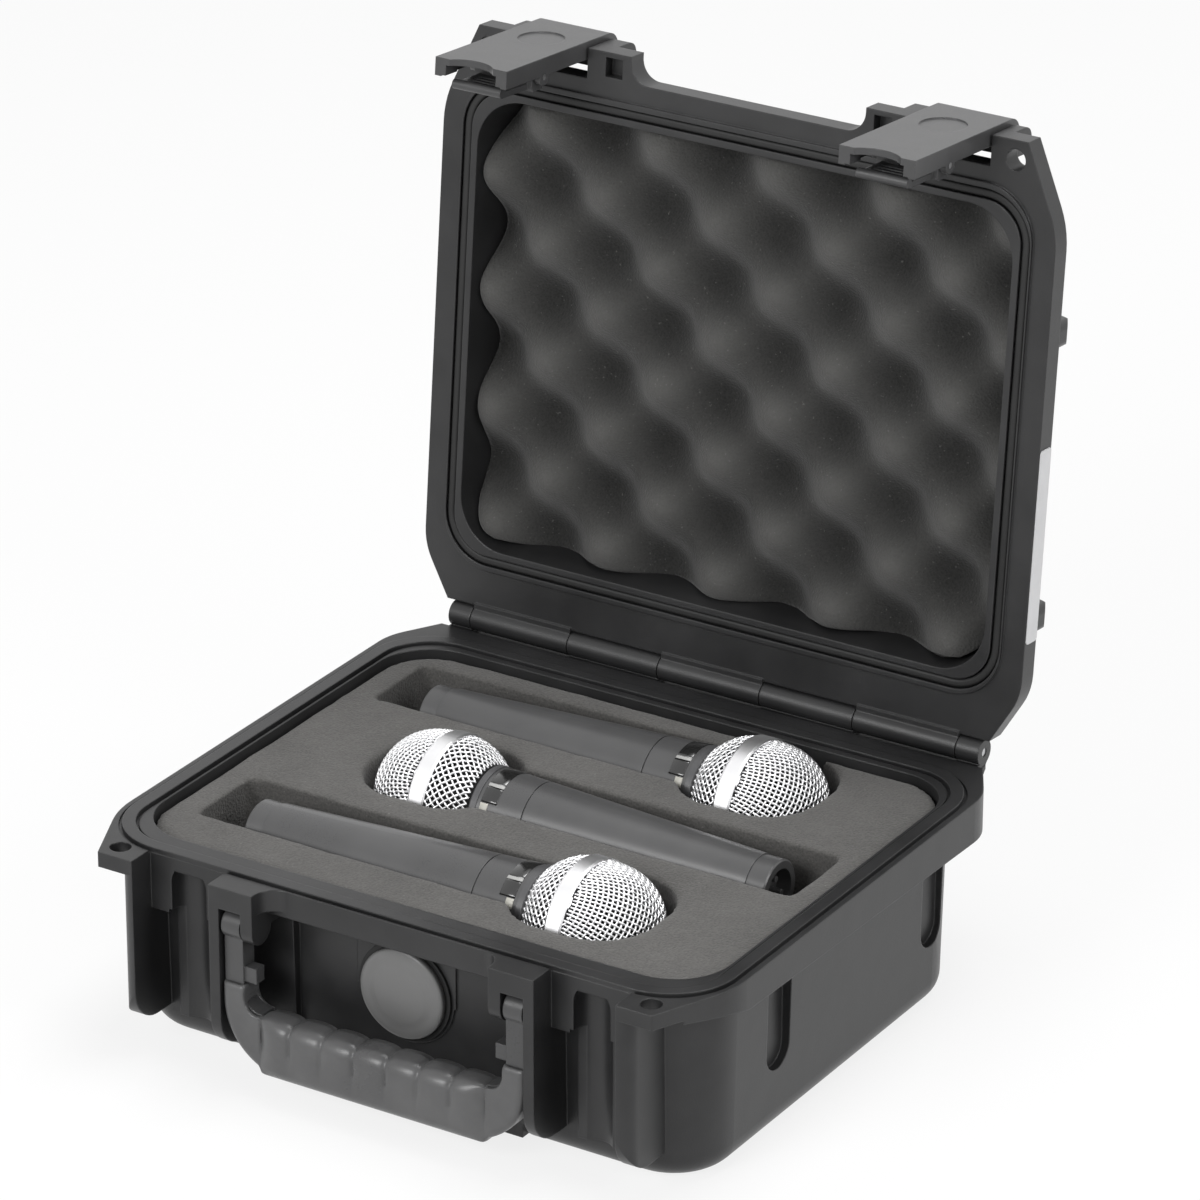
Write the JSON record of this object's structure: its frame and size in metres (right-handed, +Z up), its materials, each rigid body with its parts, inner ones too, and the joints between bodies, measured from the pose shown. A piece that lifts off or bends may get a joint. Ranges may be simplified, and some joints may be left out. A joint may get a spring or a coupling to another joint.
{
  "type": "microphone case",
  "caption": "Hinged hard case, open, with foam that holds handheld microphones, two over-centre latches with sprung triggers and a swinging handle.",
  "frame": {"origin": "centre of the base's standing face, with y = 0 at the middle of the rim seal", "axes": "+X to the right seen from the front, +Y to the hinge side at the back, +Z up"},
  "size_m": [0.2624, 0.2857, 0.3249],
  "materials": {
    "case_shell": "matte",
    "latch_plastic": "satin",
    "handle_plastic": "satin",
    "grip_rubber": "matte",
    "seal_rubber": "matte",
    "steel_pin": "satin",
    "label_film": "satin",
    "foam_block": "matte",
    "lid_foam": "matte",
    "valve_plastic": "satin",
    "membrane": "matte",
    "mic_paint": "satin",
    "mic_collar": "gloss",
    "mic_mesh": "satin",
    "mic_band": "satin",
    "capsule": "satin"
  },
  "bodies": {
    "base": {"base_shell": "case_shell", "base_foam": "foam_block", "foam_floor": "foam_block", "hinge_pin": "steel_pin", "handle_pin_left": "steel_pin", "handle_pin_right": "steel_pin", "valve_cap": "valve_plastic", "valve_seal": "seal_rubber", "valve_body": "valve_plastic", "valve_nut": "valve_plastic", "valve_membrane": "membrane"},
    "lid": {"lid_shell": "case_shell", "lid_gasket": "seal_rubber", "lid_foam": "lid_foam", "lid_label": "label_film", "latch_pin_left": "steel_pin", "latch_pin_right": "steel_pin"},
    "handle": {"handle_frame": "handle_plastic", "handle_grip": "grip_rubber"},
    "latch_left": {"latch_cover_left": "latch_plastic", "trigger_pin_left": "steel_pin", "trigger_spring_left": "steel_pin"},
    "trigger_left": {"trigger_lever_left": "latch_plastic"},
    "latch_right": {"latch_cover_right": "latch_plastic", "trigger_pin_right": "steel_pin", "trigger_spring_right": "steel_pin"},
    "trigger_right": {"trigger_lever_right": "latch_plastic"},
    "mic_front": {"mic_body_front": "mic_paint", "mic_tail_front": "mic_paint", "mic_collar_front": "mic_collar", "grille_lower_front": "mic_mesh", "grille_band_front": "mic_band", "grille_dome_front": "mic_mesh", "mic_capsule_front": "capsule"},
    "mic_middle": {"mic_body_middle": "mic_paint", "mic_tail_middle": "mic_paint", "mic_collar_middle": "mic_collar", "grille_lower_middle": "mic_mesh", "grille_band_middle": "mic_band", "grille_dome_middle": "mic_mesh", "mic_capsule_middle": "capsule"},
    "mic_back": {"mic_body_back": "mic_paint", "mic_tail_back": "mic_paint", "mic_collar_back": "mic_collar", "grille_lower_back": "mic_mesh", "grille_band_back": "mic_band", "grille_dome_back": "mic_mesh", "mic_capsule_back": "capsule"}
  },
  "joints": [
    {"name": "lid_hinge", "type": "hinge", "parent": "base", "child": "lid", "pos_m": [0, 0.1192, 0.0835], "axis": [-1, 0, 0], "range_deg": [-95.3, 0]},
    {"name": "handle_swing", "type": "hinge", "parent": "base", "child": "handle", "pos_m": [0, -0.11, 0.0645], "axis": [-1, 0, 0], "range_deg": [0, 110]},
    {"name": "latch_left_hinge", "type": "hinge", "parent": "lid", "child": "latch_left", "pos_m": [-0.0855, 0.1549, 0.31138], "axis": [-1, 0, 0], "range_deg": [-5, 100]},
    {"name": "trigger_left_pull", "type": "hinge", "parent": "latch_left", "child": "trigger_left", "pos_m": [-0.0855, 0.11055, 0.31499], "axis": [-1, 0, 0], "range_deg": [0, 14], "stiffness_Nm_per_rad": 0.02, "springref_deg": -11.46},
    {"name": "latch_right_hinge", "type": "hinge", "parent": "lid", "child": "latch_right", "pos_m": [0.0855, 0.1549, 0.31138], "axis": [-1, 0, 0], "range_deg": [-5, 100]},
    {"name": "trigger_right_pull", "type": "hinge", "parent": "latch_right", "child": "trigger_right", "pos_m": [0.0855, 0.11055, 0.31499], "axis": [-1, 0, 0], "range_deg": [0, 14], "stiffness_Nm_per_rad": 0.02, "springref_deg": -11.46},
    {"name": "mic_front_lift", "type": "slide", "parent": "base", "child": "mic_front", "axis": [0, 0, 1], "range_m": [0, 0.1]},
    {"name": "mic_middle_lift", "type": "slide", "parent": "base", "child": "mic_middle", "axis": [0, 0, 1], "range_m": [0, 0.1]},
    {"name": "mic_back_lift", "type": "slide", "parent": "base", "child": "mic_back", "axis": [0, 0, 1], "range_m": [0, 0.1]}
  ]
}
